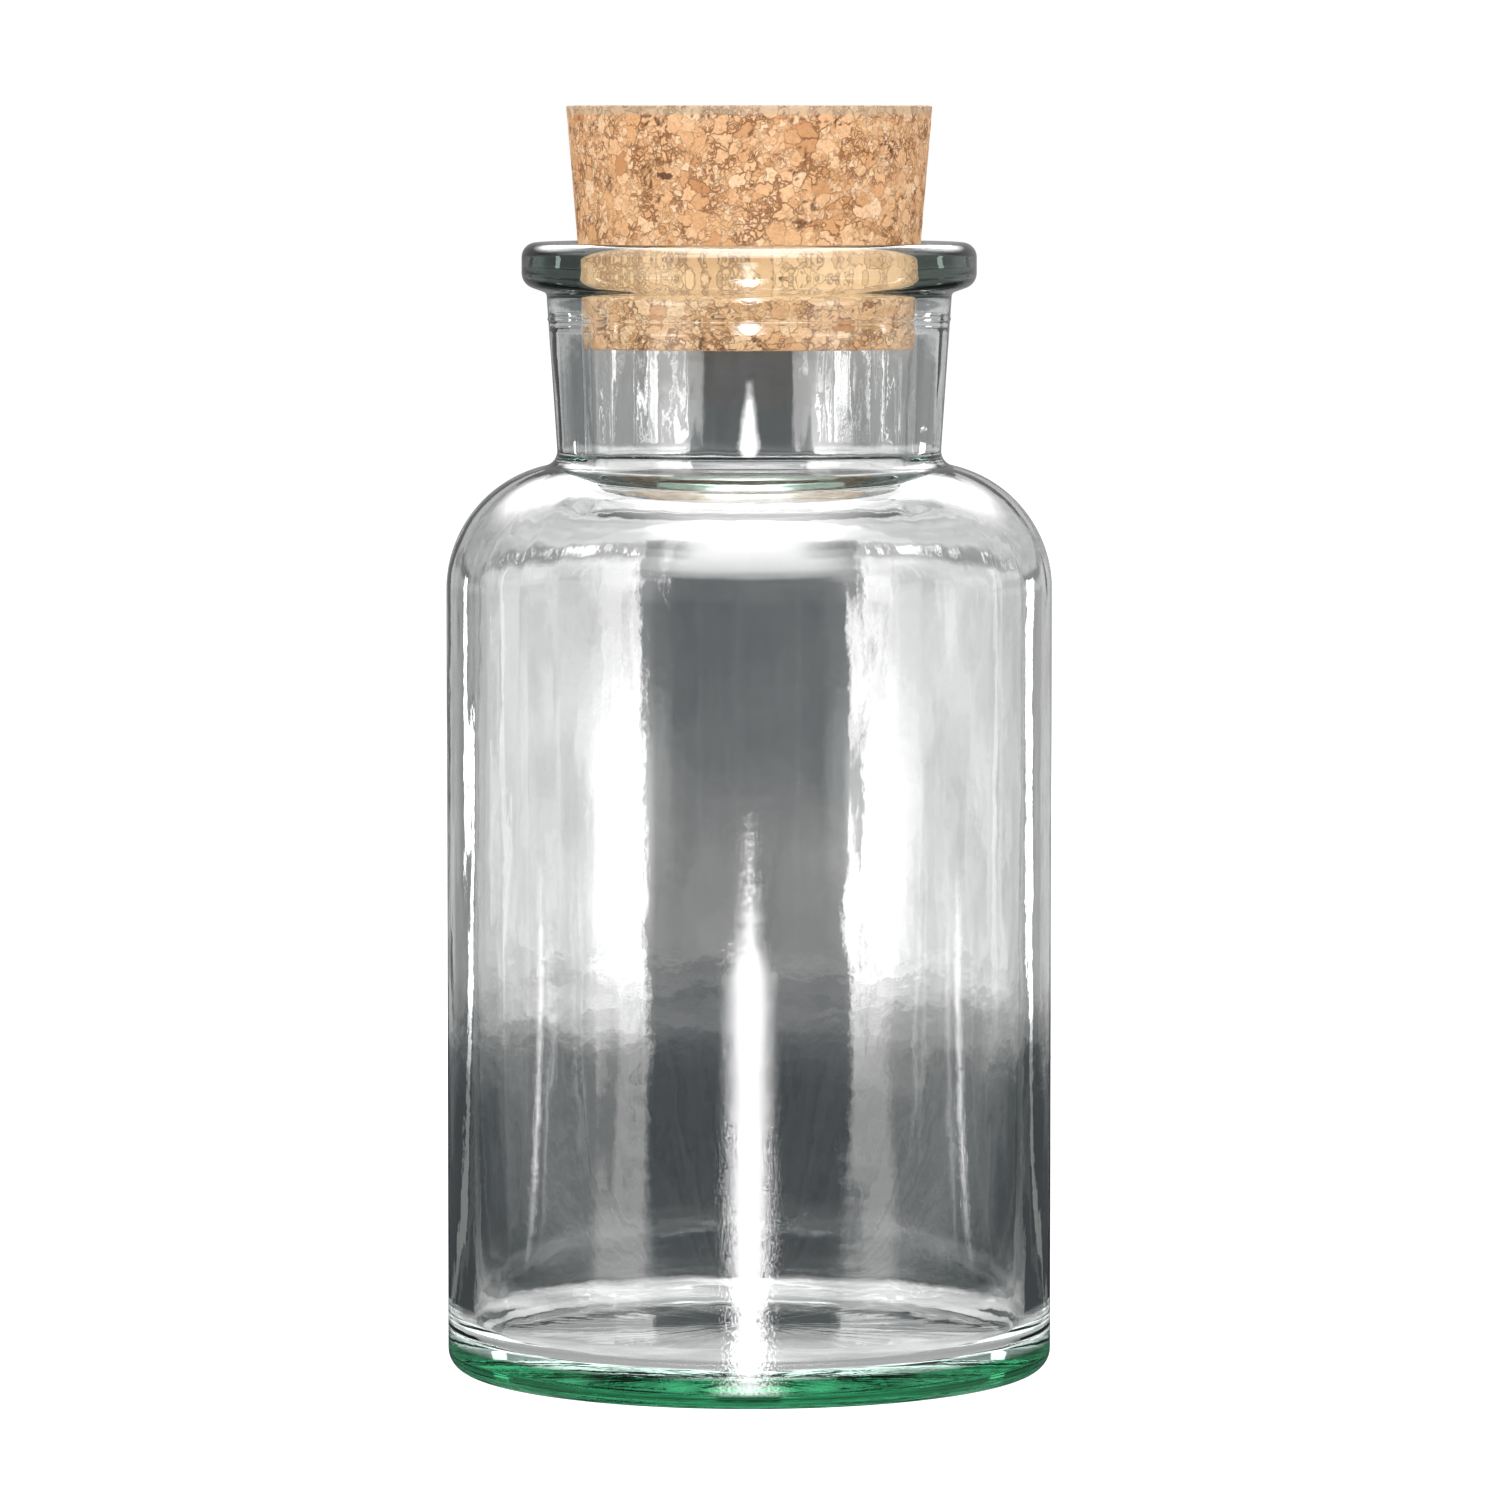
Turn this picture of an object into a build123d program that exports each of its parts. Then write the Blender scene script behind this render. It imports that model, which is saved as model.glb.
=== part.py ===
from build123d import *
from math import acos, ceil, hypot, radians, sqrt, tan
import os

# Storage jar of thick clear glass, closed by a tapered stopper of pressed cork granules.
# All lengths are in millimetres. Z points up, and the origin is the centre of the foot, on the resting plane.

# Cork stopper
cork_top_diameter = 60.4
cork_height = 39.5
cork_side_angle = 4.85
cork_edge_round = 0.4
cork_insertion = 17.0

# Fit of the stopper in the mouth
# The mouth has the stopper's own taper down to the seat's end, and the bore below narrows more slowly.
seat_clearance = 0.2
seat_depth = 9.4
bore_taper_share = 0.25

# Heights of the jar
jar_height = 186.5
lip_height = 8.3
neck_height = 28.0
floor_edge_height = 5.6
floor_rise = 1.4
push_up_height = 3.0

# Widths of the jar
body_diameter = 100.0
lip_overhang = 4.1
foot_ring_width = 3.0

# Thickness of the glass
body_wall = 4.2
shoulder_wall = 4.4
neck_wall_bottom = 4.4
neck_wall_top = 5.6

# Rounds of the outer surface
heel_round = 3.4
shoulder_round = 20.8
neck_root_round = 2.6
lip_root_round = 0.8
lip_lower_round = 2.6
lip_upper_round = 2.4
lip_under_angle = 20.0

# Rounds of the inner surface
floor_round = 4.0
inner_shoulder_round = 16.6
inner_neck_round = 5.0
mouth_round = 1.0

# Ridge left on the neck where the halves of the mould meet the ring that forms the lip
mould_ridge_drop = 4.3
mould_ridge_width = 0.8
mould_ridge_height = 0.15

# Rounds are cut into flats that stay this close to the true arc, which keeps the turned surfaces light
flat_error = 0.1

# The stopper's place and side
cork_bottom_z = jar_height - cork_insertion
cork_top_z = cork_bottom_z + cork_height
cork_slope = tan(radians(cork_side_angle))

# Levels and radii that follow from the sizes above
lip_bottom_z = jar_height - lip_height
shoulder_top_z = lip_bottom_z - neck_height
seat_end_z = jar_height - seat_depth
body_radius = body_diameter / 2
inner_radius = body_radius - body_wall


def cork_radius(z):
    """Radius of the stopper's side at height z."""
    return cork_top_diameter / 2 - (cork_top_z - z) * cork_slope


def seat_radius(z):
    """Radius of the mouth's seat at height z, parallel to the stopper's side."""
    return cork_radius(z) + seat_clearance


def bore_radius(z):
    """Radius of the neck's bore at height z, below the seat."""
    return seat_radius(seat_end_z) - (seat_end_z - z) * cork_slope * bore_taper_share


def arc_radius(half_chord, rise):
    """Radius of a shallow dome from half its chord and its rise."""
    return (half_chord**2 + rise**2) / (2 * rise)


def unit(start, end):
    """Direction from one point of the outline to another."""
    return (end - start) / hypot(end.X - start.X, end.Y - start.Y)


def tangent_round(wall_point, along, away, centre, radius, fillet):
    """The round between a straight wall and the outside of an arc.

    The wall runs through wall_point in the direction along, and the round lies on its side away.
    The round's middle is one fillet from the wall and radius + fillet from the arc's centre.
    Returns the round's end on the arc and its end on the wall.
    """
    reach = radius + fillet
    start = wall_point + away * fillet - centre
    back = start.dot(along)
    travel = sqrt(back**2 - start.dot(start) + reach**2) - back
    middle = centre + start + along * travel
    on_arc = centre + (middle - centre) * (radius / reach)
    on_wall = middle - away * fillet
    return on_arc, on_wall


def neck_point(z):
    """Point of the neck's outer side at height z."""
    bottom = bore_radius(shoulder_top_z) + neck_wall_bottom
    top = seat_radius(lip_bottom_z) + neck_wall_top
    return Vector(bottom + (top - bottom) * (z - shoulder_top_z) / neck_height, z)


def outer_shoulder():
    """Ends of the outer shoulder's arc and of the round at the neck's root."""
    centre = Vector(body_radius - shoulder_round, shoulder_top_z - shoulder_round)
    foot = neck_point(shoulder_top_z)
    along = unit(foot, neck_point(lip_bottom_z))
    away = Vector(along.Y, -along.X)
    on_arc, on_wall = tangent_round(foot, along, away, centre, shoulder_round, neck_root_round)
    return Vector(body_radius, centre.Y), on_arc, on_wall


def inner_shoulder():
    """Ends of the inner shoulder's arc and of the round at the bore's lower end."""
    centre = Vector(
        inner_radius - inner_shoulder_round,
        shoulder_top_z - shoulder_wall - inner_shoulder_round,
    )
    foot = Vector(bore_radius(shoulder_top_z), shoulder_top_z)
    along = unit(foot, Vector(bore_radius(seat_end_z), seat_end_z))
    away = Vector(along.Y, -along.X)
    on_arc, on_wall = tangent_round(foot, along, away, centre, inner_shoulder_round, inner_neck_round)
    return Vector(inner_radius, centre.Y), on_arc, on_wall


def floor_corner():
    """Ends of the round between the inner wall and the domed floor."""
    dome = arc_radius(inner_radius, floor_rise)
    centre = Vector(0, floor_edge_height + floor_rise - dome)
    wall = Vector(inner_radius, centre.Y)
    return tangent_round(wall, Vector(0, 1), Vector(-1, 0), centre, dome, floor_round)


def underside():
    """Pushed-up middle of the base, the flat ring that the jar stands on, the heel and the body's side."""
    ring_inner_radius = body_radius - heel_round - foot_ring_width
    middle = Vector(0, push_up_height)
    ring_edge = Vector(ring_inner_radius, 0)
    RadiusArc(middle, ring_edge, arc_radius(ring_inner_radius, push_up_height))
    shoulder_start, _, _ = outer_shoulder()
    FilletPolyline(ring_edge, (body_radius, 0), shoulder_start, radius=[heel_round])


def neck_and_mouth():
    """Shoulder, neck with its mould ridge, rounded lip, seat of the stopper and bore, ending at the inner wall."""
    shoulder_start, shoulder_end, neck_start = outer_shoulder()
    inner_start, inner_end, bore_end = inner_shoulder()
    lip_radius = neck_point(lip_bottom_z).X + lip_overhang
    lip_rise = lip_overhang * tan(radians(lip_under_angle))
    ridge_z = lip_bottom_z - mould_ridge_drop
    ridge_crest = neck_point(ridge_z) + Vector(mould_ridge_height, 0)
    RadiusArc(shoulder_start, shoulder_end, -shoulder_round)
    RadiusArc(shoulder_end, neck_start, neck_root_round)
    FilletPolyline(
        neck_start,
        neck_point(ridge_z - mould_ridge_width / 2),
        ridge_crest,
        neck_point(ridge_z + mould_ridge_width / 2),
        neck_point(lip_bottom_z),
        (lip_radius, lip_bottom_z + lip_rise),
        (lip_radius, jar_height),
        (seat_radius(jar_height), jar_height),
        (seat_radius(seat_end_z), seat_end_z),
        bore_end,
        radius=[0, 0, 0, lip_root_round, lip_lower_round, lip_upper_round, mouth_round, 0],
    )
    RadiusArc(bore_end, inner_end, -inner_neck_round)
    RadiusArc(inner_end, inner_start, inner_shoulder_round)


def inside():
    """Inner wall, rounded corner and domed floor, closed along the axis."""
    inner_start, _, _ = inner_shoulder()
    floor_end, wall_end = floor_corner()
    dome = arc_radius(inner_radius, floor_rise)
    floor_middle = Vector(0, floor_edge_height + floor_rise)
    Line(inner_start, wall_end)
    RadiusArc(wall_end, floor_end, floor_round)
    RadiusArc(floor_end, floor_middle, -dome)
    Line(floor_middle, (0, push_up_height))


def flat_count(edge):
    """How many flats an edge of an outline is cut into: one for a straight edge."""
    if edge.geom_type != GeomType.CIRCLE:
        return 1
    flat_angle = 2 * acos(1 - flat_error / edge.radius)
    return ceil(edge.length / edge.radius / flat_angle)


def turned(outline):
    """The solid that an outline of lines and arcs sweeps when it is turned about the axis."""
    with BuildPart() as solid:
        with BuildSketch(Plane.XZ):
            with BuildLine():
                for edge in outline.edges():
                    flats = flat_count(edge)
                    Polyline([edge @ (corner / flats) for corner in range(flats + 1)])
            make_face()
        revolve(axis=Axis.Z)
    return solid.part


def glass_jar():
    """The glass vessel: one section turned about its axis, as it leaves the mould."""
    with BuildLine() as outline:
        underside()
        neck_and_mouth()
        inside()
    return turned(outline)


def cork_stopper():
    """The stopper: a solid cone frustum with a fine round on both rims."""
    with BuildLine() as outline:
        FilletPolyline(
            (0, cork_bottom_z),
            (cork_radius(cork_bottom_z), cork_bottom_z),
            (cork_radius(cork_top_z), cork_top_z),
            (0, cork_top_z),
            radius=cork_edge_round,
        )
        Line((0, cork_top_z), (0, cork_bottom_z))
    return turned(outline)


os.makedirs("parts", exist_ok=True)
export_step(glass_jar(), "parts/glass_jar.step")
export_step(cork_stopper(), "parts/cork_stopper.step")
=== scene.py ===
import math

import bmesh
import bpy
from mathutils import Matrix, Vector, noise


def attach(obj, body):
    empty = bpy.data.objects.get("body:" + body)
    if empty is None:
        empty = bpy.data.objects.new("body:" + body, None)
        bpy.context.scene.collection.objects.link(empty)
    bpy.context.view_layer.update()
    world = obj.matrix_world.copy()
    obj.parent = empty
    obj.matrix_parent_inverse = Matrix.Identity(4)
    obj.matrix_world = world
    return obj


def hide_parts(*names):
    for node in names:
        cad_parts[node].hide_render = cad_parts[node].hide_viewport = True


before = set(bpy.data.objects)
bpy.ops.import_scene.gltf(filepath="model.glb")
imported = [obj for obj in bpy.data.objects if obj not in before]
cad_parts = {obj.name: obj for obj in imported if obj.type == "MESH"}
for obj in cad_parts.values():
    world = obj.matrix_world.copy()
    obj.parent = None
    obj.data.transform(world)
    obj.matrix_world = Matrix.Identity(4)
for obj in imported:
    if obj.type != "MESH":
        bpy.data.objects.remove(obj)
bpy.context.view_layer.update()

MM = 0.001

# Outline of the glass in millimetres, from the middle of the underside round to the middle of the floor.
# Each row is the radius and height of a point, the radius of the arc that leads there (0 for a straight
# line, minus for a hollow one) and the number of steps on the way.
GLASS_START = (0.0, 3.0)
GLASS_OUTLINE = (
    (43.60, 0.00, -318.3, 8),  # pushed-up underside
    (46.58, 0.00, 0, 2),  # ring that the jar stands on
    (49.98, 3.40, 3.4, 10),  # heel
    (49.98, 129.40, 0, 44),  # body
    (33.70, 149.71, 20.8, 26),  # shoulder
    (31.67, 152.42, -2.6, 10),  # root of the neck
    (33.07, 173.50, 0, 12),  # neck
    (33.25, 173.90, 0, 2),  # mould ridge
    (33.13, 174.30, 0, 2),
    (33.35, 177.68, 0, 3),
    (33.88, 178.38, -0.8, 4),
    (35.78, 179.07, 0, 2),  # underside of the lip
    (37.47, 181.51, 2.6, 8),
    (37.47, 184.10, 0, 3),
    (35.09, 186.50, 2.4, 8),
    (29.41, 186.50, 0, 4),  # top of the lip
    (28.41, 185.58, 1.0, 5),  # rounded mouth
    (27.69, 177.10, 0, 5),  # seat of the stopper
    (27.13, 150.71, 0, 16),  # bore of the neck
    (31.45, 145.65, 5.0, 8),
    (45.80, 129.20, -16.6, 24),  # inner shoulder
    (45.80, 9.84, 0, 60),  # inner wall
    (41.58, 5.85, -4.0, 8),
    (0.00, 7.00, 749.9, 16),  # domed floor
)
GLASS_STEPS_ROUND = 256

# Outline of the stopper in millimetres, from the middle of its lower face to the middle of its top.
CORK_START = (0.0, 169.5)
CORK_OUTLINE = (
    (26.48, 169.50, 0, 30),
    (26.88, 169.88, 0.4, 3),
    (30.12, 208.63, 0, 84),
    (29.74, 209.00, 0.4, 3),
    (0.00, 209.00, 0, 32),
)
CORK_STEPS_ROUND = 400


class Outline:
    """Half of a turned shape's section, drawn in the XZ plane with straight lines and arcs."""

    def __init__(self, radius, height):
        self.mesh = bmesh.new()
        self.tip = self.mesh.verts.new((radius * MM, 0, height * MM))

    def line_to(self, end, steps):
        stride = (end - self.tip.co) / steps
        for _ in range(steps):
            added = bmesh.ops.extrude_vert_indiv(self.mesh, verts=[self.tip])
            self.tip = added["verts"][0]
            self.tip.co += stride

    def arc_to(self, end, bend, steps):
        """A positive bend has its centre on the left of the way from the tip to the end."""
        start = self.tip.co.copy()
        chord = end - start
        left = Vector((-chord.z, 0, chord.x)).normalized()
        reach = math.sqrt(bend**2 - (chord.length / 2) ** 2)
        centre = (start + end) / 2 + left * math.copysign(reach, bend)
        made = bmesh.ops.spin(
            self.mesh,
            geom=[self.tip],
            cent=centre,
            axis=(0, math.copysign(1, -bend), 0),
            angle=2 * math.asin(chord.length / 2 / abs(bend)),
            steps=steps,
        )
        self.tip = [g for g in made["geom_last"] if isinstance(g, bmesh.types.BMVert)][0]
        self.tip.co = end

    def follow(self, rows):
        for radius, height, bend, steps in rows:
            end = Vector((radius * MM, 0, height * MM))
            if bend:
                self.arc_to(end, bend * MM, steps)
            else:
                self.line_to(end, steps)

    def turned(self, steps):
        """The closed shape that the outline sweeps in a full turn about the axis."""
        mesh = self.mesh
        bmesh.ops.spin(
            mesh,
            geom=mesh.verts[:] + mesh.edges[:],
            cent=(0, 0, 0),
            axis=(0, 0, 1),
            angle=2 * math.pi,
            steps=steps,
            use_merge=True,
        )
        bmesh.ops.remove_doubles(mesh, verts=mesh.verts[:], dist=0.002 * MM)
        bmesh.ops.recalc_face_normals(mesh, faces=mesh.faces[:])
        for face in mesh.faces:
            face.smooth = True
        mesh.normal_update()
        return mesh


def placed(mesh, name, finish):
    """Puts a finished bmesh in the scene as an object with one material."""
    data = bpy.data.meshes.new(name)
    mesh.to_mesh(data)
    mesh.free()
    data.materials.append(finish)
    piece = bpy.data.objects.new(name, data)
    bpy.context.scene.collection.objects.link(piece)
    return piece


class Signal:
    """A shader socket. Python's arithmetic on it adds Math nodes."""

    def __init__(self, recipe, socket):
        self.recipe = recipe
        self.socket = socket

    def __add__(self, other):
        return self.recipe.maths("ADD", self, other)

    def __sub__(self, other):
        return self.recipe.maths("SUBTRACT", self, other)

    def __rsub__(self, other):
        return self.recipe.maths("SUBTRACT", other, self)

    def __mul__(self, other):
        return self.recipe.maths("MULTIPLY", self, other)

    def __truediv__(self, other):
        return self.recipe.maths("DIVIDE", self, other)

    __radd__ = __add__
    __rmul__ = __mul__


class Recipe:
    """The nodes of one material or of the world."""

    def __init__(self, owner):
        owner.use_nodes = True
        self.tree = owner.node_tree
        self.tree.nodes.clear()

    def add(self, kind, settings=None, inputs=None):
        node = self.tree.nodes.new("ShaderNode" + kind)
        for name, value in (settings or {}).items():
            if name == "stops":
                self.set_stops(node.color_ramp, value)
            else:
                setattr(node, name, value)
        for socket, value in (inputs or {}).items():
            if isinstance(value, Signal):
                self.tree.links.new(value.socket, node.inputs[socket])
            else:
                node.inputs[socket].default_value = value
        return node

    def set_stops(self, ramp, stops):
        while len(ramp.elements) < len(stops):
            ramp.elements.new(1)
        for element, (place, colour) in zip(ramp.elements, stops):
            element.position = place
            element.color = colour

    def read(self, node, output):
        """One output of a node."""
        return Signal(self, node.outputs[output])

    def get(self, kind, output=0, settings=None, inputs=None):
        """A new node's output."""
        return self.read(self.add(kind, settings, inputs), output)

    def maths(self, operation, first, second=0.0):
        return self.get("Math", 0, {"operation": operation}, {0: first, 1: second})

    def vector(self, operation, output, inputs):
        return self.get("VectorMath", output, {"operation": operation}, inputs)

    def size_of(self, value):
        """The value without its sign."""
        return self.maths("ABSOLUTE", value)

    def larger(self, first, second):
        return self.maths("MAXIMUM", first, second)

    def parts(self, place):
        """The x, y and z of a place."""
        split = self.add("SeparateXYZ", inputs={0: place})
        return [self.read(split, i) for i in range(3)]

    def stretched(self, place, factors):
        """A place with each of its parts multiplied."""
        return self.vector("MULTIPLY", 0, {0: place, 1: factors})

    def length(self, place):
        return self.vector("LENGTH", "Value", {0: place})

    def speckle(self, place, scale, detail, roughness=0.5):
        """Soft noise between 0 and 1, with about scale lumps to a unit of place."""
        inputs = {"Vector": place, "Scale": scale, "Detail": detail, "Roughness": roughness}
        return self.get("TexNoise", 0, inputs=inputs)

    def rise(self, value, start, end, low=0.0, high=1.0):
        """Goes smoothly from low to high as value goes from start to end."""
        settings = {"interpolation_type": "SMOOTHSTEP"}
        return self.get("MapRange", 0, settings, {0: value, 1: start, 2: end, 3: low, 4: high})

    def fall(self, value, start, end):
        """Goes smoothly from 1 to 0 as value goes from start to end."""
        return self.rise(value, start, end, low=1.0, high=0.0)

    def band(self, value, start, end):
        """1 between two soft ends, each given as a pair of values, and 0 outside."""
        return self.rise(value, *start) * self.fall(value, *end)

    def level(self, share, low, high):
        """A number between low and high."""
        return self.get("Mix", 0, {"data_type": "FLOAT"}, {0: share, 2: low, 3: high})

    def tint(self, share, first, second):
        """A colour between two colours."""
        settings = {"data_type": "RGBA", "clamp_factor": True}
        return self.get("Mix", 2, settings, {0: share, 6: first, 7: second})

    def grey(self, light):
        """A colour that is equally strong in red, green and blue."""
        return self.get("CombineColor", 0, inputs={0: light, 1: light, 2: light})


def new_material(name):
    material = bpy.data.materials.new(name)
    return material, Recipe(material)


def srgb(red, green, blue):
    """A colour as it is read off a screen, for a shader."""
    def linear(value):
        share = value / 255
        return share / 12.92 if share <= 0.04045 else ((share + 0.055) / 1.055) ** 2.4

    return linear(red), linear(green), linear(blue), 1.0


def clamped(value):
    """The value kept between 0 and 1."""
    return min(max(value, 0), 1)


# Glass jar
# The waves go in by up to these depths, in millimetres, and die out towards the seat, the foot and the axis.
RIB_FINENESS = 5.5
RIB_CHANGE_UPWARD = 6
STREAK_FINENESS = 14
STREAK_CHANGE_UPWARD = 9
LUMP_FINENESS = 60
INSIDE_WAVES = (0.075, 0.028, 0.045)
OUTSIDE_WAVES = (0.012, 0.0, 0.006)
SEAT_START_Z = 0.1765
FOOT_Z = 0.001
WAVE_FADE = 0.004
FLAT_MIDDLE_RADIUS = 0.025
POLE_RADIUS = 0.0005
CAVITY_BOTTOM_Z = 0.03
CAVITY_TOP_Z = 0.13

# Skin of the glass
HEEL_TOP = (0.0062, 0.005)
LIP_BOTTOM = (0.1768, 0.1785)
OUTSIDE_THE_SEAT = (0.0288, 0.0295)
LIP_FACE_TINT = (0.92, 0.95, 0.92, 1)
LIP_END_PAINTED_SHADE = (0.02, 0.03, 0.025, 1)
HEEL_TINT = (0.003, 0.102, 0.024, 1)
GLASS_IOR = 1.52
GLASS_ABSORPTION = {"Color": (0.0, 0.8, 0.5, 1), "Density": 4.5}


def mould_ripple(place, facing_in):
    """How far the glass stands off its true section here, in metres."""
    around = math.atan2(place.y, place.x)
    ring = Vector((math.cos(around), math.sin(around), 0))
    ribs = noise.noise(ring * RIB_FINENESS + Vector((0, 0, place.z * RIB_CHANGE_UPWARD)))
    streaks = noise.noise(ring * STREAK_FINENESS + Vector((0, 3, place.z * STREAK_CHANGE_UPWARD)))
    lumps = noise.noise(place * LUMP_FINENESS)
    rib_depth, streak_depth, lump_depth = INSIDE_WAVES if facing_in else OUTSIDE_WAVES
    return (rib_depth * ribs + streak_depth * streaks + lump_depth * lumps) * MM


def make_jar(finish):
    section = Outline(*GLASS_START)
    section.follow(GLASS_OUTLINE)
    mesh = section.turned(GLASS_STEPS_ROUND)
    for vert in mesh.verts:
        place = vert.co.copy()
        reach = math.hypot(place.x, place.y)
        if reach < POLE_RADIUS:
            continue
        cavity = Vector((0, 0, min(max(place.z, CAVITY_BOTTOM_Z), CAVITY_TOP_Z)))
        facing_in = vert.normal.dot(cavity - place) > 0
        if facing_in:
            hold = clamped((SEAT_START_Z - place.z) / WAVE_FADE)
        else:
            hold = clamped((place.z - FOOT_Z) / WAVE_FADE)
        hold *= min(reach / FLAT_MIDDLE_RADIUS, 1)
        vert.co -= vert.normal * abs(mould_ripple(place, facing_in)) * hold
    jar = placed(mesh, "jar_glass", finish)
    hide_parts("glass_jar")
    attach(jar, "jar")


def glass_finish():
    """Clear glass, green where the heel is first seen, with painted shade where light leaves the solid ends
    of the lip.
    """
    material, recipe = new_material("clear pressed glass")
    path = recipe.add("LightPath")
    first_seen = recipe.read(path, "Is Camera Ray")
    here = recipe.get("TexCoord", "Object")
    height = recipe.parts(here)[2]
    reach = recipe.length(recipe.stretched(here, (1, 1, 0)))
    heel = recipe.rise(height, *HEEL_TOP)
    lip = recipe.rise(height, *LIP_BOTTOM)
    # Painted shade: the solid ends of the lip turn near black for rays that leave the glass through them.
    painted_shade_at_lip_ends = (1 - first_seen) * recipe.rise(reach, *OUTSIDE_THE_SEAT)
    colour = recipe.tint(lip * first_seen, (1, 1, 1, 1), LIP_FACE_TINT)
    colour = recipe.tint(lip * painted_shade_at_lip_ends, colour, LIP_END_PAINTED_SHADE)
    colour = recipe.tint(heel * first_seen, colour, HEEL_TINT)

    # Faint relief of the mould's skin: waves, drawn lines and grit
    waves = recipe.speckle(here, 160.0, 2.0)
    lines = recipe.speckle(recipe.stretched(here, (1, 1, 0.22)), 420.0, 2.0)
    grit = recipe.speckle(here, 1300.0, 1.0)
    relief = waves + lines * 0.3 + grit * 0.08
    bump = recipe.get("Bump", 0, inputs={"Strength": 1.0, "Distance": 0.02 * MM, "Height": relief})
    glass = recipe.get(
        "BsdfPrincipled",
        inputs={
            "Base Color": colour,
            "Roughness": 0.0,
            "IOR": GLASS_IOR,
            "Transmission Weight": 1.0,
            "Normal": bump,
        },
    )

    # Lamp light passes straight through. So does what has been turned twice inside the heel, which would
    # otherwise be black when it is seen from above.
    let_through = recipe.get("BsdfTransparent", inputs={"Color": (0.995, 0.995, 0.995, 1)})
    lamp_light = recipe.read(path, "Is Shadow Ray") + recipe.read(path, "Is Diffuse Ray")
    often_turned = recipe.rise(recipe.read(path, "Glossy Depth"), 1.2, 1.8)
    straight_on = recipe.larger(lamp_light, often_turned * heel)
    surface = recipe.get("MixShader", inputs={0: straight_on, 1: glass, 2: let_through})
    body = recipe.get("VolumeAbsorption", inputs=GLASS_ABSORPTION)
    recipe.add("OutputMaterial", inputs={"Surface": surface, "Volume": body})
    return material


# Cork stopper
# Carved pits lie along the seams of cells, in the parts of the cork where the granules are open.
PIT_CELLS = 330
PIT_WARP = 260
PIT_WARP_SIZE = 0.35
PIT_WARP_OFFSETS = ((0, 0, 0), (7, 1, 3), (2, 9, 5))
PIT_SEAM_WIDTH = 0.11
OPEN_PATCHES = 170
OPEN_PATCHES_OFFSET = (4, 4, 4)
PIT_DEPTH = 0.36
SWELL_FINENESS = 240
SWELL_HEIGHT = 0.07

# Granules, in cells to the metre, and what lies on them
LARGE_GRANULES = 400.0
SMALL_GRANULES = 900.0
BROKEN_SHARE = (0.46, 0.48)
WANDER_SCALE = 900.0
GRANULE_BEND = 0.0021
GRAIN_SCALE = 2400.0
PATCH_SCALE = 260.0
FINE_SCALE = 5200.0
GRANULE_COLOURS = (
    (0.0, srgb(192, 134, 86)),
    (0.06, srgb(216, 163, 114)),
    (0.35, srgb(232, 182, 134)),
    (0.65, srgb(239, 194, 149)),
    (0.88, srgb(246, 210, 170)),
    (0.96, srgb(228, 174, 122)),
    (1.0, srgb(206, 148, 100)),
)
GRAIN_COLOUR = srgb(178, 120, 72)
SEAM_COLOUR = srgb(142, 90, 48)
PIT_SHADE_COLOUR = srgb(100, 62, 34)
SPECK_COLOUR = srgb(70, 38, 24)
GRAIN_TURN = 6.28
SPECK_PLACE = (-0.0126, -0.0249, 0.1987)
SPECK_EDGE = (0.0011, 0.0018)
RIM_COLOUR = srgb(196, 172, 144)
RIM_HEIGHT = (0.2072, 0.2078)
# Painted light on the cork inside the glass mouth: its colour, and the heights where it starts and ends
MOUTH_PAINTED_LIGHT_COLOUR = (1, 0.62, 0.35, 1)
MOUTH_LIGHT_FROM = (0.1772, 0.1785)
MOUTH_LIGHT_TO = (0.1852, 0.187)


def cork_pit(place):
    """Depth of the cork's surface below its true shape here, as a share of the deepest pit."""
    warp = Vector([noise.noise(place * PIT_WARP + Vector(offset)) for offset in PIT_WARP_OFFSETS])
    spaces, _ = noise.voronoi(place * PIT_CELLS + warp * PIT_WARP_SIZE)
    gap = max(0.0, 1 - (spaces[1] - spaces[0]) / PIT_SEAM_WIDTH)
    patch = noise.noise(place * OPEN_PATCHES + Vector(OPEN_PATCHES_OFFSET))
    return gap * gap * clamped((patch + 0.05) * 3.0)


def make_cork(finish):
    section = Outline(*CORK_START)
    section.follow(CORK_OUTLINE)
    mesh = section.turned(CORK_STEPS_ROUND)
    depths = mesh.verts.layers.float.new("crevice")
    for vert in mesh.verts:
        pit = cork_pit(vert.co)
        vert[depths] = pit
        swell = 0.5 + 0.5 * noise.noise(vert.co * SWELL_FINENESS)
        vert.co -= vert.normal * (PIT_DEPTH * pit + SWELL_HEIGHT * swell) * MM
    cork = placed(mesh, "cork_granules", finish)
    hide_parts("cork_stopper")
    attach(cork, "stopper")


def granules(recipe, place, scale):
    """The cells of one size of granule, the distance to their seams, and two chance numbers per cell."""
    inputs = {"Vector": place, "Scale": scale}
    cells = recipe.add("TexVoronoi", {"feature": "F1"}, inputs)
    seam_far = recipe.get("TexVoronoi", "Distance", {"feature": "DISTANCE_TO_EDGE"}, inputs)
    chances = recipe.add("SeparateColor", inputs={"Color": recipe.read(cells, "Color")})
    return cells, seam_far, recipe.read(chances, 0), recipe.read(chances, 1)


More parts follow.
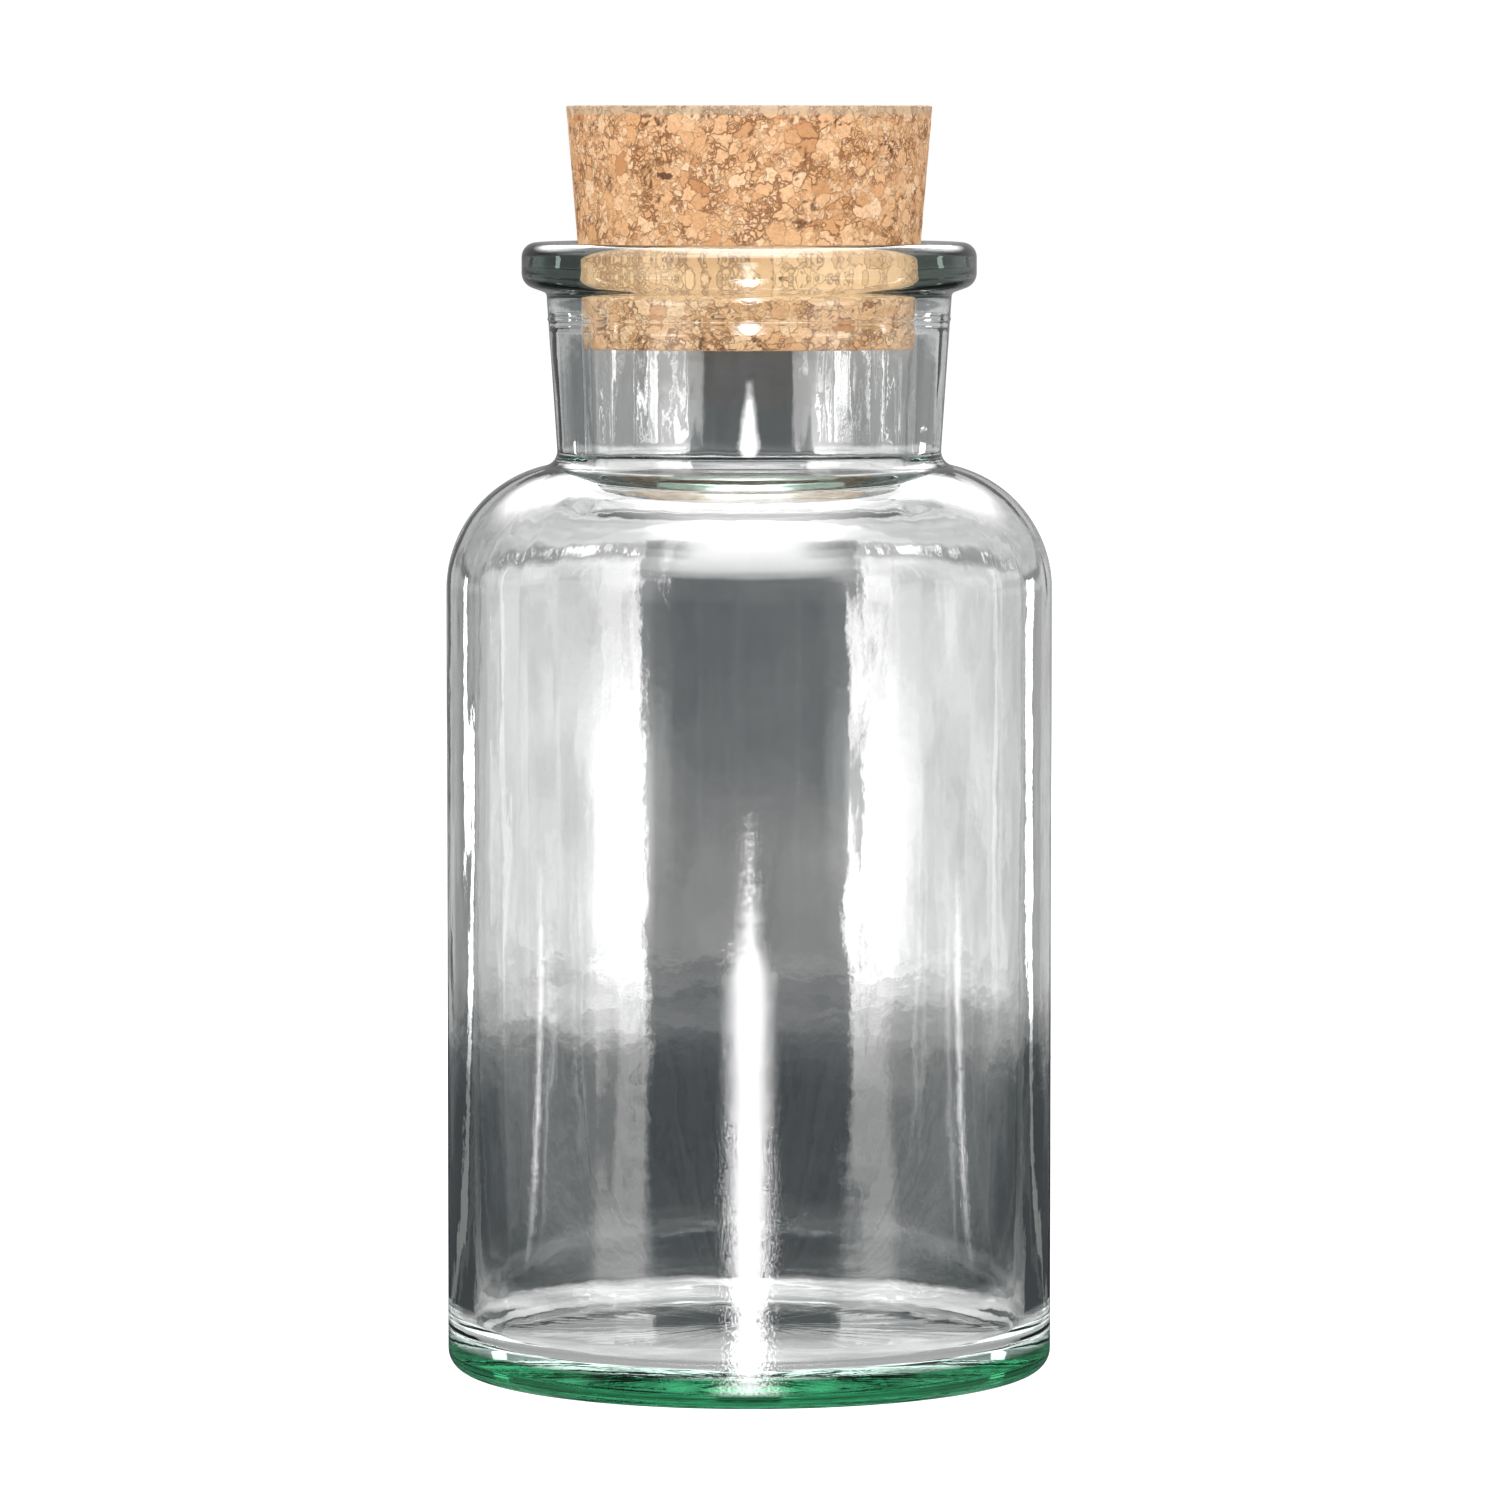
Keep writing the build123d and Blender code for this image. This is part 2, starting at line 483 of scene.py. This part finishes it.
def cork_finish():
    """Pressed cork: large granules, some of them broken, with grain, seams, pits with painted shade, one dark
    speck, and painted light where it sits in the glass mouth.
    """
    material, recipe = new_material("pressed cork granules")
    here = recipe.get("TexCoord", "Object")
    height = recipe.parts(here)[2]
    wander = recipe.get("TexNoise", "Color", inputs={"Vector": here, "Scale": WANDER_SCALE, "Detail": 4.0})
    bent = recipe.vector("MULTIPLY_ADD", 0, {0: wander, 1: (GRANULE_BEND,) * 3, 2: here})

    large, large_seam_far, large_kind, breaking = granules(recipe, bent, LARGE_GRANULES)
    small, small_seam_far, small_kind, _ = granules(recipe, bent, SMALL_GRANULES)
    broken = recipe.rise(breaking, *BROKEN_SHARE)
    kind = recipe.level(broken, large_kind, small_kind)
    whole_gap = large_seam_far * 2.5
    broken_gap = recipe.maths("MINIMUM", whole_gap, small_seam_far * 1.1)
    gap = recipe.level(broken, whole_gap, broken_gap)

    # Each granule has its own colour, and a grain that runs its own way
    chances = recipe.tint(broken, recipe.read(large, "Color"), recipe.read(small, "Color"))
    turn = recipe.vector("SCALE", 0, {0: chances, "Scale": GRAIN_TURN})
    turned = recipe.get(
        "VectorRotate",
        0,
        {"rotation_type": "EULER_XYZ"},
        {"Vector": bent, "Rotation": turn},
    )
    grain = recipe.speckle(recipe.stretched(turned, (1, 1, 0.14)), GRAIN_SCALE, 3.0, 0.7)
    body = recipe.get("ValToRGB", 0, {"stops": GRANULE_COLOURS}, {0: kind})
    grained = recipe.tint(recipe.rise(grain, 0.4, 0.66, high=0.5), body, GRAIN_COLOUR)

    # Seams are wide in some patches and close in others. The carved pits get painted shade, darker where they
    # are deeper, and less of it inside the glass mouth
    patches = recipe.speckle(here, PATCH_SCALE, 3.0)
    seam = recipe.fall(gap, 0.0, recipe.rise(patches, 0.4, 0.7, low=0.04, high=0.26))
    seam_strength = recipe.rise(patches, 0.4, 0.62, low=0.2, high=0.95)
    seamed = recipe.tint(seam * seam_strength, grained, SEAM_COLOUR)
    in_mouth = recipe.band(height, MOUTH_LIGHT_FROM, MOUTH_LIGHT_TO)
    crevice = recipe.get("Attribute", "Fac", {"attribute_name": "crevice"}) * (1 - in_mouth * 0.7)
    pit_shaded = recipe.tint(recipe.rise(crevice, 0.1, 0.7, high=0.8), seamed, PIT_SHADE_COLOUR)

    # One dark speck on the front, a paler, greyer top, and painted light on the cork inside the glass mouth,
    # which stands for the light that the lip's glass gathers there.
    speck_way = recipe.vector("SUBTRACT", 0, {0: bent, 1: SPECK_PLACE})
    speck = recipe.fall(recipe.length(recipe.stretched(speck_way, (1, 1, 2.6))), *SPECK_EDGE)
    specked = recipe.tint(speck * 0.9, pit_shaded, SPECK_COLOUR)
    rimmed = recipe.tint(recipe.rise(height, *RIM_HEIGHT, high=0.7), specked, RIM_COLOUR)
    # Painted light, strongest just under the lip's top, on the paler granules and off the seams
    mouth_light_share = recipe.rise(height, 0.1838, 0.182, low=0.6, high=0.95)
    mouth_light_share = mouth_light_share * recipe.rise(kind, 0.1, 0.7, low=0.7, high=1.0) * (1 - seam * 0.45)
    colour = recipe.tint(in_mouth * mouth_light_share, rimmed, MOUTH_PAINTED_LIGHT_COLOUR)

    # Relief: fine grain, and granules that lean each its own way
    fine = recipe.speckle(here, FINE_SCALE, 2.0)
    off_middle = recipe.vector("SUBTRACT", 0, {0: bent, 1: recipe.read(large, "Position")})
    slope = recipe.vector("SUBTRACT", 0, {0: chances, 1: (0.5,) * 3})
    lean = recipe.vector("DOT_PRODUCT", "Value", {0: off_middle, 1: slope})
    relief = fine * 0.25 + grain * 0.5 + kind * 0.5 + lean * 1600 - seam * 1.2
    bump = recipe.get("Bump", 0, inputs={"Strength": 0.8, "Distance": 0.14 * MM, "Height": relief})
    surface = recipe.get(
        "BsdfPrincipled",
        inputs={
            "Base Color": colour,
            "Roughness": 0.82,
            "Specular IOR Level": 0.25,
            "Normal": bump,
        },
    )
    recipe.add("OutputMaterial", inputs={"Surface": surface})
    return material


# Studio
# Light of 1 is white. What only lights the scene gets ROOM_LIGHT from all round.
ROOM_LIGHT = 0.42
TABLE_SIZE = 6
TABLE_Z = -0.4 * MM
TABLE_GLOW_NEAR = 0.42
TABLE_GLOW_FAR = 0.8


def seen_directly(recipe, path):
    """1 for what the camera, a mirroring or the glass shows, 0 for what only lights the scene."""
    shown = recipe.read(path, "Is Camera Ray") + recipe.read(path, "Is Glossy Ray")
    return recipe.maths("MINIMUM", shown + recipe.read(path, "Is Transmission Ray"), 1.0)


def make_world():
    world = bpy.data.worlds.new("white room")
    bpy.context.scene.world = world
    recipe = Recipe(world)
    path = recipe.add("LightPath")
    strength = recipe.level(seen_directly(recipe, path), ROOM_LIGHT, 1.0)
    sky = recipe.get("Background", inputs={"Color": (1, 1, 1, 1), "Strength": strength})
    recipe.add("OutputWorld", inputs={"Surface": sky})


def floor_finish():
    material, recipe = new_material("white table")
    path = recipe.add("LightPath")
    away = recipe.length(recipe.get("TexCoord", "Object"))
    light = recipe.rise(away, 0.1, 0.6, low=TABLE_GLOW_NEAR, high=TABLE_GLOW_FAR)
    light = recipe.grey(seen_directly(recipe, path) * light)
    glow = recipe.get("Emission", inputs={"Color": light, "Strength": 1.0})
    matte = recipe.get("BsdfDiffuse", inputs={"Color": (0.8, 0.8, 0.8, 1)})
    surface = recipe.get("AddShader", inputs={0: matte, 1: glow})
    recipe.add("OutputMaterial", inputs={"Surface": surface})
    return material


def make_floor():
    mesh = bmesh.new()
    bmesh.ops.create_grid(mesh, x_segments=1, y_segments=1, size=TABLE_SIZE)
    bmesh.ops.translate(mesh, verts=mesh.verts[:], vec=(0, 0, TABLE_Z))
    table = placed(mesh, "table", floor_finish())


# Light tent
# A drum round the jar that only the glass shows. Its colours are the cloths and softboxes of the studio.
# Lengths are in metres, angles in degrees from straight before the jar, and light of 1 is white.
TENT_RADIUS = 0.7
TENT_HEIGHT = 0.9
TENT_BOTTOM_Z = -0.2 * MM
DEGREES = math.degrees(1)

# Heights on the tent's wall that are seen through the neck
NECK_FROM = (0.142, 0.162)
NECK_TO = (0.182, 0.204)
OVER_NECK = (0.19, 0.205)
WISPS_FROM = (0.158, 0.164)
WISPS_TO = (0.184, 0.19)

# The dark strip behind the jar
STRIP_HALF_WIDTH = 0.0168
STRIP_WIDENING = 0.038
STRIP_SHARE_IN_NECK = 0.95
STRIP_FRAYING = 0.008
STRIP_SOFTNESS = 0.004

# Places on the table, by distance from the jar's axis
TABLE_CLOTH_EDGE = (0.4, 0.69)
UNDER_JAR = (0.09, 0.06)
HEEL_EDGE = (0.051, 0.059)
FOOT_EDGE = (0.12, 0.07)

# Directions
SIDE_TURN = (134.0, 150.0)
PALE_TO_GREY = (14.0, 30.0)
COLUMN_TO_DARK = (13.0, 26.0)
END_STRIP_FROM = (136.5, 137.5)
END_STRIP_TO = (141.5, 142.5)
SOFTBOX_FROM = (33.5, 38.5)
SOFTBOX_TO = (50.0, 68.0)
SIDE_STREAK_ANGLE = 83

# Heights where the ceiling takes over from the wall
CEILING_BEHIND = (0.42, 0.6)
CEILING_LID = (0.76, 0.82)

# Light of the cloths
STRIP_FROM_SIDE = 0.4
PALE_LIGHT = 0.78
PALE_LIGHT_OVER_NECK = 0.66
PALE_LIGHT_IN_NECK = 0.34
GREY_LIGHT_AT_SIDES = 0.72
TABLE_STRIP_LIGHT = 0.08
TABLE_DARK_LIGHT = 0.06
TABLE_STRIP_LIGHT_AT_SIDES = 0.3
TABLE_LIGHT_AT_SIDES = 0.62
UNDER_JAR_LIGHT = 0.74
END_STRIP_LIGHT = 2.4
END_STRIP_LIGHT_ON_TABLE = 0.3

# Light before the jar
TABLE_LIGHT_BEFORE = 0.07
FOOT_LIGHT = 1.3
STREAK_LIGHT = 27
HEEL_PATCH_LIGHT = 5
SIDE_STREAK_LIGHT = 11


class Spot:
    """A spot of the tent that a ray meets: where it is, and how the ray came there."""

    def __init__(self, recipe):
        here = recipe.get("TexCoord", "Object")
        x, y, z = recipe.parts(here)
        self.x = x
        self.y = y
        self.z = z
        self.around = recipe.size_of(recipe.maths("ARCTAN2", x, 0 - y)) * DEGREES
        self.folded = recipe.maths("PINGPONG", self.around, 45.0)
        self.away = recipe.maths("SQRT", x * x + y * y)
        self.sideways = recipe.size_of(x)

        path = recipe.add("LightPath")
        passes = recipe.read(path, "Transmission Depth")
        turns = recipe.read(path, "Glossy Depth")
        self.mirrored = recipe.read(path, "Is Reflection Ray")
        self.through_jar = recipe.rise(passes, 2.5, 3.5) * recipe.fall(turns, 0.2, 0.8)
        self.from_inside = recipe.band(passes, (0.2, 0.8), (1.2, 1.8))

        self.clouds = recipe.speckle(here, 30.0, 4.0) - 0.5
        self.crumple = recipe.speckle(here, 50.0, 4.0) - 0.5
        self.glitter = recipe.speckle(here, 420.0, 4.0)
        thread_place = recipe.get("CombineXYZ", 0, inputs={0: self.around * 2.2, 1: z * 14})
        self.threads = recipe.speckle(thread_place, 1.0, 3.0)
        drift = recipe.speckle(here, 7.0, 2.0) - 0.5

        self.on_table = recipe.fall(z, 0.0, 0.001)
        self.near = self.on_table * recipe.fall(self.away + drift * 0.35, *TABLE_CLOTH_EDGE)
        self.under = recipe.rise(self.away, *UNDER_JAR)
        self.opposite = 1 - self.through_jar * recipe.fall(self.around, *SIDE_TURN)
        self.neck_high = recipe.band(z, NECK_FROM, NECK_TO)
        self.over_neck = recipe.rise(z, *OVER_NECK)

        narrowed = recipe.level(self.neck_high, 1.0, STRIP_SHARE_IN_NECK)
        half_strip = (STRIP_HALF_WIDTH + self.away * STRIP_WIDENING) * narrowed
        self.half_strip = half_strip + self.crumple * STRIP_FRAYING
        self.across = self.away * recipe.maths("SINE", self.folded / DEGREES)
        strip_edge = (self.half_strip - STRIP_SOFTNESS, self.half_strip + STRIP_SOFTNESS)
        beside = recipe.rise(self.across, *strip_edge)
        self.beside = recipe.larger(beside, self.over_neck)


def wall_cloth(recipe, spot):
    """Cloths on the wall behind the jar: a dark strip, pale cloth on both sides, grey cloth beyond."""
    strip = recipe.rise(spot.z, 0.02, 0.06, low=0.26, high=0.15)
    strip = strip * recipe.level(spot.neck_high, 1.0, 0.55)
    facing = recipe.size_of(recipe.maths("COSINE", spot.around / DEGREES))
    strip = recipe.level(recipe.rise(facing, 0.3, 0.7), STRIP_FROM_SIDE, strip)

    bright_edge = recipe.rise(spot.z, 0.05, 0.09, low=1.25, high=0.86)
    bright_edge = bright_edge * recipe.rise(spot.threads, 0.3, 0.6, low=0.85, high=1.15)
    from_edge = recipe.rise(spot.folded + spot.crumple * 1.5 + spot.threads * 3, 5.4, 9.0)
    pale = recipe.level(from_edge, bright_edge, PALE_LIGHT)
    pale = recipe.level(spot.over_neck, pale, PALE_LIGHT_OVER_NECK)
    wisps = recipe.rise(spot.threads, 0.5, 0.68, high=0.9) * recipe.band(spot.z, WISPS_FROM, WISPS_TO)
    pale = recipe.level(spot.neck_high, pale, PALE_LIGHT_IN_NECK + wisps)

    grey = recipe.rise(spot.z, 0.11, 0.13, low=0.33, high=0.5)
    grey = grey * recipe.level(spot.neck_high, 1.0, 0.4)
    grey = grey * recipe.rise(spot.x, -0.5, 0.5, low=0.85, high=1.15)
    grey = recipe.level(spot.opposite, GREY_LIGHT_AT_SIDES, grey)

    beside = recipe.level(recipe.rise(spot.folded, *PALE_TO_GREY), pale, grey)
    return recipe.level(spot.beside, strip, beside) * (1 + spot.clouds)


def table_cloth(recipe, spot):
    """Dark cloth on the table, with a paler column on both sides of the strip, and what is under the jar."""
    column_start = spot.half_strip + 0.007
    column_end = spot.half_strip + 0.015
    column = recipe.rise(spot.across, column_start, column_end, low=0.34, high=0.19)
    beside = recipe.level(recipe.rise(spot.folded, *COLUMN_TO_DARK), column, TABLE_DARK_LIGHT)
    cloth = recipe.level(spot.beside, TABLE_STRIP_LIGHT, beside)
    cloth = cloth * (1 + spot.clouds * 0.25)
    cloth = cloth * recipe.rise(spot.threads, 0.3, 0.7, low=0.86, high=1.14)
    at_sides = recipe.level(spot.beside, TABLE_STRIP_LIGHT_AT_SIDES, TABLE_LIGHT_AT_SIDES)
    cloth = recipe.level(spot.opposite, at_sides, cloth)
    cloth = recipe.level(spot.under, cloth, UNDER_JAR_LIGHT + spot.crumple * 1.6)

    glints = recipe.rise(spot.glitter, 0.52, 0.68) * recipe.fall(spot.away, 0.07, 0.105)
    glints = glints * recipe.rise(spot.folded, 12.0, 34.0, low=0.1, high=0.5)
    return cloth + spot.opposite * glints


def light_behind(recipe, spot):
    """All that stands behind the jar."""
    behind = recipe.level(spot.near, wall_cloth(recipe, spot), table_cloth(recipe, spot))

    # A narrow bright strip at each end, which lights the edges of the glass
    end_strip = recipe.band(spot.around, END_STRIP_FROM, END_STRIP_TO)
    end_strip = end_strip * (1 - spot.under) * recipe.fall(spot.z, 0.16, 0.168)
    end_light = recipe.level(spot.near, END_STRIP_LIGHT, END_STRIP_LIGHT_ON_TABLE)
    behind = recipe.level(end_strip, behind, end_light)

    # The ceiling behind, bright over the middle
    ceiling = recipe.rise(spot.sideways, 0.12, 0.5, low=1.3, high=0.25)
    return recipe.level(recipe.rise(spot.z, *CEILING_BEHIND), behind, ceiling)


def softboxes(recipe, spot):
    """A softbox on each side before the jar, dark cloth between them, and a bright ceiling."""
    box = recipe.band(spot.around, SOFTBOX_FROM, SOFTBOX_TO)
    box_light = recipe.rise(spot.z, 0.0, 0.03, low=1.4, high=5.0)
    box_light = box_light * recipe.rise(spot.z, 0.052, 0.064, low=1.0, high=0.3)
    box_on_table = recipe.rise(spot.away, 0.4, 0.7, low=0.2, high=1.4)
    box_light = recipe.level(spot.on_table, box_light, box_on_table)
    between = recipe.rise(spot.x, -0.4, 0.4, low=0.26, high=0.42)
    before = recipe.level(box, recipe.level(spot.near, between, TABLE_LIGHT_BEFORE), box_light)

    over = recipe.rise(spot.z, 0.42, 0.49, high=0.6) + recipe.rise(spot.z, 0.55, 0.74, high=0.4)
    over_sides = recipe.rise(spot.z, 0.36, 0.6) * recipe.rise(spot.around, 30.0, 50.0)
    over = recipe.larger(over, over_sides)
    wall_light = recipe.rise(spot.sideways, 0.3, 0.6, low=10.0, high=2.0)
    ceiling_light = recipe.rise(spot.sideways, 0.12, 0.5, low=12.5, high=2.0)
    over_light = recipe.level(recipe.rise(spot.z, *CEILING_LID), wall_light, ceiling_light)
    return recipe.level(over, before, over_light)


def lit_streaks(recipe, spot):
    """The streak that the front of the glass mirrors from the table, and a thin one on each side."""
    flicker_place = {0: spot.around * 0.25, 1: spot.z * 420 + spot.away * 60}
    flicker = recipe.speckle(recipe.get("CombineXYZ", 0, inputs=flicker_place), 1.0, 5.0) - 0.5
    sparkle_place = {0: spot.around * 1.6, 1: spot.z * 1800 + spot.away * 260}
    sparkle = recipe.speckle(recipe.get("CombineXYZ", 0, inputs=sparkle_place), 1.0, 2.0) - 0.5

    half_angle = recipe.rise(spot.z, 0.0, 0.02, low=5.4, high=0.3)
    half_angle = half_angle * recipe.rise(spot.away, 0.06, 0.3, low=0.6, high=1.0)
    half_angle = half_angle - recipe.rise(spot.z, 0.024, 0.03, high=1.7)
    half_angle = half_angle + flicker * 4.0 + sparkle * 18.0
    streak = recipe.fall(spot.around, half_angle - 4.6, half_angle + 5.2) * recipe.fall(spot.z, 0.034, 0.042)
    streak = streak * recipe.rise(spot.away, 0.055, 0.11, low=0.6, high=1.0)

    heel_patch = spot.on_table * recipe.fall(spot.around, 4.0, 11.0) * recipe.fall(spot.away, 0.06, 0.09)
    outside_heel = recipe.rise(spot.away, *HEEL_EDGE) * spot.mirrored

    side_far = recipe.size_of(spot.around - SIDE_STREAK_ANGLE)
    half_angle = 0.9 + flicker * 4.0 + sparkle * 9.0
    side_streak = recipe.fall(side_far, half_angle - 1.4, half_angle + 1.4)
    side_streak = side_streak * recipe.fall(spot.z, 0.0, 0.035) * recipe.rise(spot.away, 0.15, 0.4)
    front = (streak * STREAK_LIGHT + heel_patch * HEEL_PATCH_LIGHT) * outside_heel
    return front + side_streak * SIDE_STREAK_LIGHT


def light_before(recipe, spot):
    """All that stands before the jar. What is seen through glass is dimmer low down than what is mirrored."""
    foot = spot.on_table * (1 - spot.mirrored) * recipe.rise(spot.away, *FOOT_EDGE)
    before = recipe.level(foot, softboxes(recipe, spot), FOOT_LIGHT)
    seen_through = recipe.rise(spot.z, 0.1, 0.2, low=0.33, high=1.2)
    return (before + lit_streaks(recipe, spot)) * recipe.level(spot.mirrored, seen_through, 1.0)


def tent_finish():
    """Softboxes and cloths: what the glass mirrors and bends. Neither the camera nor the cork sees it."""
    material, recipe = new_material("light tent")
    spot = Spot(recipe)
    in_front = recipe.rise(spot.y, 0.02, -0.02)
    shows_front = recipe.larger(spot.mirrored, in_front * (1 - spot.through_jar))
    strength = recipe.level(shows_front, light_behind(recipe, spot), light_before(recipe, spot))

    # Light in rings under the heel, for rays that go straight on out of it
    ring_place = recipe.get("CombineXYZ", 0, inputs={0: spot.around * 0.05, 1: spot.away * 170})
    rings = recipe.rise(recipe.speckle(ring_place, 1.0, 3.0), 0.4, 0.6, low=0.02, high=1.65)
    strength = recipe.level(spot.from_inside, strength, rings)

    # Dim light is bluer than bright light
    colour = recipe.tint(recipe.rise(strength, 0.04, 0.3), (0.86, 0.94, 1, 1), (1, 0.98, 0.985, 1))
    light = recipe.vector("SCALE", 0, {0: colour, "Scale": strength})
    glow = recipe.get("Emission", inputs={"Color": light, "Strength": 1.0})
    recipe.add("OutputMaterial", inputs={"Surface": glow})
    return material


def make_tent():
    mesh = bmesh.new()
    bmesh.ops.create_cone(
        mesh,
        cap_ends=True,
        segments=96,
        radius1=TENT_RADIUS,
        radius2=TENT_RADIUS,
        depth=TENT_HEIGHT,
    )
    bmesh.ops.translate(mesh, verts=mesh.verts[:], vec=(0, 0, TENT_HEIGHT / 2 + TENT_BOTTOM_Z))
    tent = placed(mesh, "light_tent", tent_finish())
    tent.visible_camera = False
    tent.visible_diffuse = False
    tent.visible_shadow = False


# Glint cards
# Small lit cards before the neck and the lip, each with one streak.
NECK_STREAK_LIGHT = 34.0
LIP_STREAK_LIGHT = 8
LIP_STREAK_HALF_WIDTH = 0.0022
LIP_STREAK_SOFTNESS = 0.0015


def glint_finish(name, streak_light):
    """A lit streak along the middle of a card. The rest of the card and its underside let all through."""
    material, recipe = new_material(name)
    here = recipe.get("TexCoord", "Object")
    x, y, _ = recipe.parts(here)
    flicker = recipe.speckle(recipe.stretched(here, (120, 370, 1200)), 1.0, 3.0) - 0.5
    light = streak_light(recipe, recipe.size_of(x), y, flicker)
    light = light * (1 - recipe.get("NewGeometry", "Backfacing"))
    glow = recipe.get("Emission", inputs={"Color": recipe.grey(light), "Strength": 1.0})
    hole = recipe.get("BsdfTransparent")
    surface = recipe.get("MixShader", inputs={0: recipe.rise(light, 0.0, 0.1), 1: hole, 2: glow})
    recipe.add("OutputMaterial", inputs={"Surface": surface})
    return material


def neck_streak(recipe, beside, y, flicker):
    half_width = recipe.rise(y, -0.18, -0.1, low=0.004, high=0.0075) + flicker * 0.009
    lit = recipe.fall(beside, half_width - 0.005, half_width + 0.007)
    return lit * recipe.rise(y, -0.19, -0.14, high=NECK_STREAK_LIGHT) * recipe.rise(y, -0.08, -0.09)


def lip_streak(recipe, beside, y, flicker):
    half_width = LIP_STREAK_HALF_WIDTH + flicker * 0.005
    lit = recipe.fall(beside, half_width - LIP_STREAK_SOFTNESS, half_width + LIP_STREAK_SOFTNESS)
    return lit * LIP_STREAK_LIGHT


def make_glint_card(name, finish, half_size, tilt, place):
    """A small card close before the neck or the lip, which only reflections show."""
    mesh = bmesh.new()
    bmesh.ops.create_grid(mesh, x_segments=1, y_segments=1, size=1)
    bmesh.ops.scale(mesh, verts=mesh.verts[:], vec=(*half_size, 1))
    leaning = Matrix.Rotation(math.radians(tilt), 3, "X")
    bmesh.ops.rotate(mesh, verts=mesh.verts[:], cent=(0, 0, 0), matrix=leaning)
    bmesh.ops.translate(mesh, verts=mesh.verts[:], vec=place)
    card = placed(mesh, name, finish)
    card.visible_camera = False
    card.visible_diffuse = False
    card.visible_shadow = False
    card.visible_transmission = False


# Lamps and camera
# Lamps hang in a ring and aim at the jar's middle. Each has a name, a direction in degrees and its watts.
LAMP_RING_RADIUS = 1.1
LAMP_HEIGHT = 0.75
LAMP_SIZE = 0.6
LAMP_AIM = (0, 0, 0.12)
LAMPS = (
    ("front lamp", -12, 10.0),
    ("right lamp", 80, 4.5),
    ("back lamp", 170, 6.0),
    ("left lamp", -110, 3.5),
)
CAMERA_AIM = (0.00013, 0, 0.1027)
CAMERA_DISTANCE = 1.389
CAMERA_ELEVATION = 4.35
CAMERA_LENS = 201.6
CAMERA_SENSOR = 36


def turned_towards(place, aim):
    """The rotation of a lamp or a camera that stands at a place and looks at its aim."""
    return (Vector(aim) - Vector(place)).to_track_quat("-Z", "Y").to_euler()


def make_lamp(name, place, watts):
    data = bpy.data.lights.new(name, "AREA")
    data.shape = "DISK"
    data.size = LAMP_SIZE
    data.energy = watts
    lamp = bpy.data.objects.new(name, data)
    lamp.location = place
    lamp.rotation_euler = turned_towards(place, LAMP_AIM)
    lamp.visible_camera = False
    lamp.visible_glossy = False
    lamp.visible_transmission = False
    bpy.context.scene.collection.objects.link(lamp)


def make_lamps():
    for name, degrees, watts in LAMPS:
        turn = math.radians(degrees)
        place = (LAMP_RING_RADIUS * math.sin(turn), -LAMP_RING_RADIUS * math.cos(turn), LAMP_HEIGHT)
        make_lamp(name, place, watts)


def make_camera():
    elevation = math.radians(CAMERA_ELEVATION)
    back = Vector((0, -math.cos(elevation), math.sin(elevation)))
    place = Vector(CAMERA_AIM) + back * CAMERA_DISTANCE
    data = bpy.data.cameras.new("camera")
    data.sensor_width = CAMERA_SENSOR
    data.lens = CAMERA_LENS
    data.clip_start = 0.01
    data.clip_end = 30
    camera = bpy.data.objects.new("camera", data)
    camera.location = place
    camera.rotation_euler = turned_towards(place, CAMERA_AIM)
    bpy.context.scene.collection.objects.link(camera)
    bpy.context.scene.camera = camera


make_jar(glass_finish())
make_cork(cork_finish())
make_world()
make_floor()
make_tent()
make_glint_card(
    "neck_glint_card",
    glint_finish("neck glint", neck_streak),
    half_size=(0.022, 0.058),
    tilt=0,
    place=(0, -0.137, 0.14),
)
make_glint_card(
    "lip_glint_card",
    glint_finish("lip glint", lip_streak),
    half_size=(0.008, 0.0035),
    tilt=-90,
    place=(0, -0.06, 0.1815),
)
make_lamps()
make_camera()
bpy.context.scene.view_settings.view_transform = "Standard"
